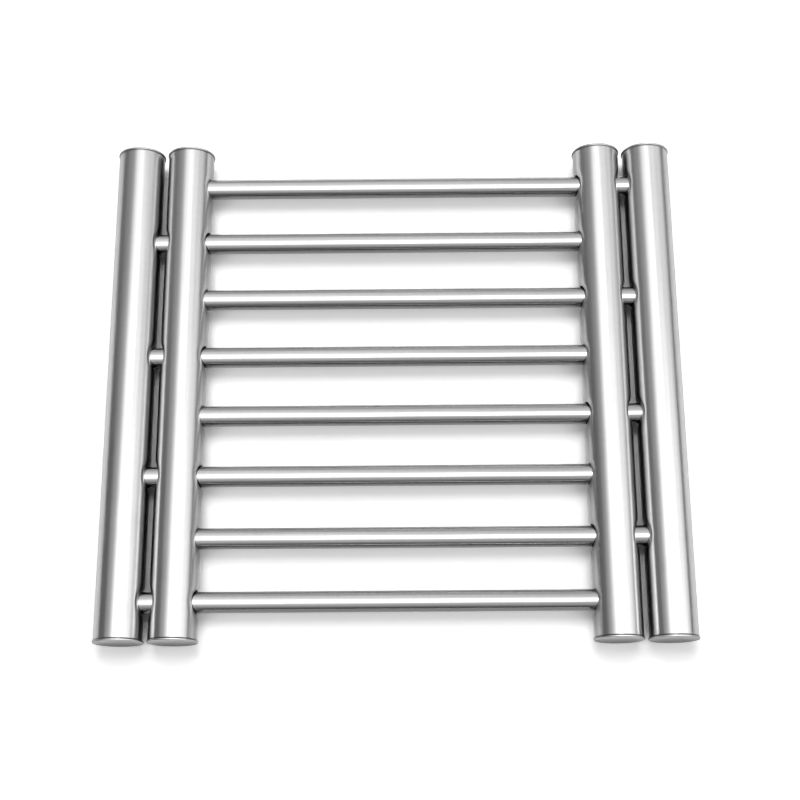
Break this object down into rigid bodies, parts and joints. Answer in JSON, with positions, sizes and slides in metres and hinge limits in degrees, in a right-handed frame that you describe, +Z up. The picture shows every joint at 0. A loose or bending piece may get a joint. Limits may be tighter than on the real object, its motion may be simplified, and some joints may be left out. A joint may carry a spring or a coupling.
{
  "type": "expanding trivet",
  "caption": "Expanding trivet: two interlocked ladder frames of steel tube and rod that slide apart to make a wider rest for hot pots and dishes.",
  "frame": {"origin": "on the table, under the middle of the closed trivet", "axes": "+X along the cross rods, the way the right frame slides out; +Y along the side tubes, away from the viewer; +Z up"},
  "size_m": [0.1958, 0.173, 0.0166],
  "materials": {
    "side_tube": "satin, drawn lines along the tube",
    "end_cap": "satin, finely turned",
    "cross_rod": "satin, drawn lines along the rod"
  },
  "bodies": {
    "left_frame": {"left_outer_tube": "side_tube", "right_inner_tube": "side_tube", "left_outer_far_cap": "end_cap", "left_outer_near_cap": "end_cap", "right_inner_far_cap": "end_cap", "right_inner_near_cap": "end_cap", "cross_rod_2": "cross_rod", "cross_rod_4": "cross_rod", "cross_rod_6": "cross_rod", "cross_rod_8": "cross_rod"},
    "right_frame": {"right_outer_tube": "side_tube", "left_inner_tube": "side_tube", "right_outer_far_cap": "end_cap", "right_outer_near_cap": "end_cap", "left_inner_far_cap": "end_cap", "left_inner_near_cap": "end_cap", "cross_rod_1": "cross_rod", "cross_rod_3": "cross_rod", "cross_rod_5": "cross_rod", "cross_rod_7": "cross_rod"}
  },
  "joints": [
    {"name": "frame_slide", "type": "slide", "parent": "left_frame", "child": "right_frame", "axis": [1, 0, 0], "range_m": [0, 0.127]}
  ]
}
